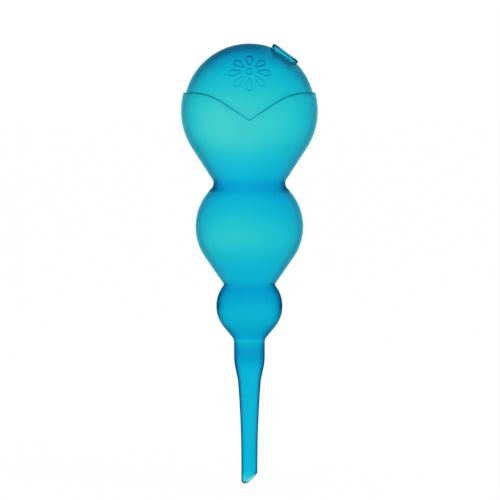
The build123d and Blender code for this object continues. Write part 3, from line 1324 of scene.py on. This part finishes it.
@dataclass(frozen=True)
class Filler:
    """The filler's two loose pieces: the soft grommet in the dome's wall and the stopper in it."""

    seat: FillerSeat = FillerSeat()
    # The wall that the grommet grips, and the clearance between pieces.
    wall: float = 1.2
    gap: float = 0.05
    # The grommet.
    bore_radius: float = 7.5
    body_radius: float = 8.7
    flange_radius: float = 10.0
    flange_thickness: float = 0.9
    lip_thickness: float = 2.3
    lip_chamfer: float = 0.8
    # The stopper.
    head_radius: float = 10.2
    low_edge: float = 0.8
    high_edge: float = 2.0
    crown_radius: float = 130.0
    edge_round: float = 0.3
    edge_band: float = 5.0
    shank_reach: float = 0.7
    shank_wall: float = 1.6
    shank_chamfer: float = 0.6
    # Roundings, as the length that each takes off a side.
    bore_round: float = 0.15
    flange_round: float = 0.35
    flange_foot_round: float = 0.12
    lip_round: float = 0.2
    root_round: float = 0.1
    shank_round: float = 0.25
    hollow_round: float = 0.2
    # The mesh.
    columns: int = 120
    crown_rows: int = 12
    edge_steps: int = 5
    round_steps: int = 4

    @property
    def lip_foot(self) -> float:
        """Height of the grommet's lowest face over the flat."""
        return -self.wall - self.gap - self.lip_thickness

    @property
    def head_foot(self) -> float:
        """Height of the stopper head's underside over the flat."""
        return self.flange_thickness + 2 * self.gap

    def rounded(self, corners: list[tuple[float, float, float]]) -> list[np.ndarray]:
        """Round the corners of an outline.

        Args:
            corners: Distance from the axis, height, and length of the rounding, at each corner.

        Returns:
            The points of the outline.
        """
        points: list[np.ndarray] = []
        for place, (reach, height, size) in enumerate(corners):
            corner = np.array((reach, height))
            ways = []
            for other in (corners[place - 1], corners[(place + 1) % len(corners)]):
                way = np.array(other[:2]) - corner
                ways.append(corner + way / np.linalg.norm(way) * size)
            points += bend(ways[0], corner, ways[1], self.round_steps) if size else [corner]
        return points

    def rings(self, outline: list[np.ndarray]) -> np.ndarray:
        """Turn an outline about the axis.

        Args:
            outline: Distance from the axis and height of each point.

        Returns:
            Rings by columns by three, in the filler's frame.
        """
        circle = circle_points(self.columns)
        return np.array([circle * reach + (0, 0, height) for reach, height in outline])

    def build_grommet(self) -> bpy.types.Object:
        """Build, dress and place the grommet.

        Returns:
            The piece.
        """
        top, under = self.gap + self.flange_thickness, -self.wall - self.gap
        outline = self.rounded(
            [
                (self.bore_radius, top, self.bore_round),
                (self.flange_radius, top, self.flange_round),
                (self.flange_radius, self.gap, self.flange_foot_round),
                (self.body_radius, self.gap, 0.0),
                (self.body_radius, under, 0.0),
                (self.flange_radius, under, self.lip_round),
                (self.flange_radius, self.lip_foot + self.lip_chamfer, self.flange_round),
                (self.flange_radius - self.lip_chamfer, self.lip_foot, self.flange_round),
                (self.bore_radius, self.lip_foot, self.lip_round),
            ]
        )
        rings = self.seat.to_row(self.rings(outline))
        count = len(outline)
        faces: list[list[int]] = []
        for ring in range(count):
            faces += strip(ring * self.columns, (ring + 1) % count * self.columns, self.columns)
        piece = make_piece("soft_grommet", rings.reshape(-1, 3), faces)
        piece.data.materials.append(SOFT_SILICONE.material())
        place_piece(piece, "filler_grommet", Body.VESSEL)
        return piece

    def crown(self, reach: np.ndarray | float) -> np.ndarray:
        """Build a ring of the head's crowned top, which rises uphill.

        Args:
            reach: Distance of the ring from the axis.

        Returns:
            The ring in the filler's frame.
        """
        low = np.array((-self.head_radius, self.head_foot + self.low_edge))
        high = np.array((self.head_radius, self.head_foot + self.high_edge))
        chord = high - low
        length = float(np.linalg.norm(chord))
        drop = math.sqrt(self.crown_radius**2 - (length / 2) ** 2)
        middle = low + chord / 2 + np.array((chord[1], -chord[0])) / length * drop
        across, up, _ = circle_points(self.columns).T * reach
        height = middle[1] + np.sqrt(self.crown_radius**2 - across**2 - (up - middle[0]) ** 2)
        return np.column_stack((across, up, height))

    def edge_shares(self, points: np.ndarray) -> np.ndarray:
        """Find how near points are to the edge of the head, whose rim is painted navy.

        Args:
            points: Points of the stopper, in the filler's frame.

        Returns:
            One at the edge, falling to nothing along the top, and nothing below the head.
        """
        reach = np.linalg.norm(points[:, :2], axis=1)
        rise = np.clip((reach - self.head_radius) / self.edge_band + 1, 0.0, 1.0)
        return np.where(points[:, 2] > self.head_foot + self.gap, rise, 0.0)

    def build_stopper(self) -> bpy.types.Object:
        """Build, dress and place the stopper.

        Returns:
            The piece.
        """
        head, shank = self.head_radius, self.bore_radius - self.gap
        hollow, foot = shank - self.shank_wall, self.lip_foot - self.shank_reach
        flat_end = head - self.edge_round
        places = np.linspace(0, 1, self.crown_rows + 1)[1:-1]
        rings = [self.crown(flat_end * place) for place in places]
        edge = self.crown(head)
        rings += bend(self.crown(flat_end), edge, edge - (0, 0, self.edge_round), self.edge_steps)
        lower = self.rounded(
            [
                (head, self.head_foot + self.low_edge / 2, 0.0),
                (head, self.head_foot, self.edge_round),
                (shank, self.head_foot, self.root_round),
                (shank, foot + self.shank_chamfer, self.shank_round),
                (shank - self.shank_chamfer, foot, self.shank_round),
                (hollow, foot, self.hollow_round),
                (hollow, self.head_foot, self.edge_round),
                (0.0, self.head_foot, 0.0),
            ]
        )
        below = self.rings([*lower[:-1], np.array((hollow / 2, self.head_foot))])
        skin = np.vstack((np.array(rings), below))
        top = np.array((0, 0, self.crown(0.0)[0, 2]))
        ends = [self.seat.to_row(point) for point in (top, np.array((0, 0, self.head_foot)))]
        piece = make_piece("push_stopper", *closed_skin(self.seat.to_row(skin), *ends))
        # The head's edge gets the painted navy rim shade, a painted dark reflection.
        set_share(piece, Share.PAINTED_RIM_SHADE, np.append(self.edge_shares(skin.reshape(-1, 3)), (0.0, 0.0)))
        piece.data.materials.append(MOULDED_PP.material())
        place_piece(piece, "filler_stopper", Body.STOPPER)
        return piece


@dataclass(frozen=True)
class Lamp:
    """A soft square lamp that looks at the object.

    Attributes:
        name: Name of the lamp.
        place: Where it stands.
        size: Side of the square.
        power: Its power in watts.
        aim: The place that it looks at.
        spread: Width of its beam.
    """

    name: str
    place: tuple[float, float, float]
    size: float
    power: float
    aim: tuple[float, float, float]
    spread: float

    def build(self) -> None:
        """Add the lamp, turned to its aim."""
        light = bpy.data.lights.new(self.name, "AREA")
        light.size = self.size
        light.energy = self.power
        light.spread = math.radians(self.spread)
        lamp = bpy.data.objects.new(self.name, light)
        lamp.location = self.place
        lamp.visible_camera = False
        lamp.visible_transmission = False
        lamp.visible_glossy = False
        lamp.rotation_euler = (Vector(self.aim) - lamp.location).to_track_quat("-Z", "Y").to_euler()
        bpy.context.scene.collection.objects.link(lamp)


@dataclass(frozen=True)
class Studio:
    """A plain studio: a pale floor, a white surround, soft lamps and the camera.

    Attributes:
        target: The place that the camera looks at.
        camera_distance: How far the camera is from it.
        camera_rise: Angle of the camera over the level.
        camera_near: Nearest distance that it shows.
        view_height: Height that fills the picture at the target.
        sensor: Width of the camera's sensor, in millimetres.
        floor_level: Height of the floor.
        floor_half: Half the width of the floor.
        floor_colour: Colour of its paint.
        floor_glow: Share of the floor that glows for rays that show it.
        floor_light: Strength of that glow.
        surround: Strength of the light from all round.
        ceiling: How bright the surround looks overhead in the object.
        ceiling_from: Upward share of a ray where it starts to darken.
        ceiling_full: Upward share where it is as dark as it gets.
        bounces: How often a ray of light may pass or bounce.
        lamps: The lamps.
    """

    target: tuple[float, float, float] = (0.0004, 0.0, 0.0661)
    camera_distance: float = 2.0
    camera_rise: float = 3.0
    camera_near: float = 0.01
    view_height: float = 0.3347
    sensor: float = 36.0
    floor_level: float = -0.0912
    floor_half: float = 30.0
    floor_colour: str = "#F4F4F4"
    floor_glow: float = 0.9
    floor_light: float = 1.03
    surround: float = 0.75
    ceiling: float = 0.5
    ceiling_from: float = 0.15
    ceiling_full: float = 0.7
    bounces: int = 32
    lamps: tuple[Lamp, ...] = (
        Lamp("low_left_lamp", (-0.16, -0.5, -0.06), 0.2, 0.3, (-0.01, 0.0, 0.14), 60.0),
        Lamp("high_right_lamp", (0.9, -0.6, 1.2), 1.0, 1.0, (0.0, 0.0, 0.06), 150.0),
    )

    def seen(self, tree: Tree) -> Socket:
        """Tell rays that show the background from those that light the object.

        Args:
            tree: The tree that gets the nodes.

        Returns:
            One for camera, glossy and transmission rays, nothing for the rest.
        """
        path = add_node(tree, "LightPath")
        share = path.outputs["Is Camera Ray"]
        for ray in ("Is Glossy Ray", "Is Transmission Ray"):
            either = add_node(tree, "Math", {0: share, 1: path.outputs[ray]}, operation="MAXIMUM")
            share = either.outputs[0]
        return share

    def build_world(self) -> None:
        """Surround the object with white, a little darker overhead for all but the camera."""
        world = bpy.data.worlds.new("white_surround")
        bpy.context.scene.world = world
        tree = new_tree(world)
        white = {"Color": linear("#FFFFFF")}
        light = add_node(tree, "Background", {**white, "Strength": self.surround}).outputs[0]
        way = add_node(tree, "TexCoord").outputs["Generated"]
        fade = {
            "Value": add_node(tree, "SeparateXYZ", {0: way}).outputs["Z"],
            "From Min": self.ceiling_from,
            "From Max": self.ceiling_full,
            "To Min": 1.0,
            "To Max": self.ceiling,
        }
        sky = add_node(tree, "MapRange", fade).outputs[0]
        camera = add_node(tree, "LightPath").outputs["Is Camera Ray"]
        level = add_node(tree, "Math", {0: sky, 1: camera}, operation="MAXIMUM").outputs[0]
        shown = add_node(tree, "Background", {**white, "Strength": level}).outputs[0]
        both = add_node(tree, "MixShader", {0: self.seen(tree), 1: light, 2: shown})
        add_node(tree, "OutputWorld", {"Surface": both.outputs[0]})

    def build_floor(self) -> None:
        """Lay the pale floor, which glows enough to read as white and still takes the shadow."""
        half, level = self.floor_half, self.floor_level
        mesh = bpy.data.meshes.new("floor")
        signs = ((-1, -1), (1, -1), (1, 1), (-1, 1))
        corners = [(half * across, half * along, level) for across, along in signs]
        mesh.from_pydata(corners, [], [[0, 1, 2, 3]])
        floor = bpy.data.objects.new("floor", mesh)
        bpy.context.scene.collection.objects.link(floor)
        material = bpy.data.materials.new("painted_board_matt_white")
        tree = new_tree(material)
        paint = add_node(tree, "BsdfDiffuse", {"Color": linear(self.floor_colour)}).outputs[0]
        light = {"Color": linear("#FFFFFF"), "Strength": self.floor_light}
        glow = add_node(tree, "Emission", light).outputs[0]
        weight = {0: self.seen(tree), 1: self.floor_glow}
        share = add_node(tree, "Math", weight, operation="MULTIPLY").outputs[0]
        both = add_node(tree, "MixShader", {0: share, 1: paint, 2: glow})
        add_node(tree, "OutputMaterial", {"Surface": both.outputs[0]})
        mesh.materials.append(material)

    def build_camera(self) -> None:
        """Set the camera a little above the middle of the object."""
        view = bpy.data.cameras.new("front_camera")
        view.sensor_width = self.sensor
        view.lens = self.sensor * self.camera_distance / self.view_height
        view.clip_start = self.camera_near
        camera = bpy.data.objects.new("front_camera", view)
        rise = math.radians(self.camera_rise)
        target = Vector(self.target)
        camera.location = target + self.camera_distance * Vector((0, -math.cos(rise), math.sin(rise)))
        camera.rotation_euler = (target - camera.location).to_track_quat("-Z", "Y").to_euler()
        bpy.context.scene.collection.objects.link(camera)
        bpy.context.scene.camera = camera

    def build(self) -> None:
        """Build the whole studio."""
        self.build_world()
        self.build_floor()
        for lamp in self.lamps:
            lamp.build()
        self.build_camera()
        bpy.context.scene.view_settings.view_transform = "Standard"
        bpy.context.scene.cycles.max_bounces = self.bounces
        bpy.context.scene.cycles.transmission_bounces = self.bounces


def main() -> None:
    """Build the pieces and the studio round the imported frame."""
    logging.basicConfig(level=logging.INFO, format="%(name)s: %(message)s")
    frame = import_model()
    LOG.info("frame with %d nodes", len(frame["nodes"]))
    filler = Filler()
    for piece in (Reservoir().build(), filler.build_grommet(), filler.build_stopper()):
        LOG.info("%s: %d faces", piece.name, len(piece.data.polygons))
    Studio().build()


if __name__ == "__main__":
    main()
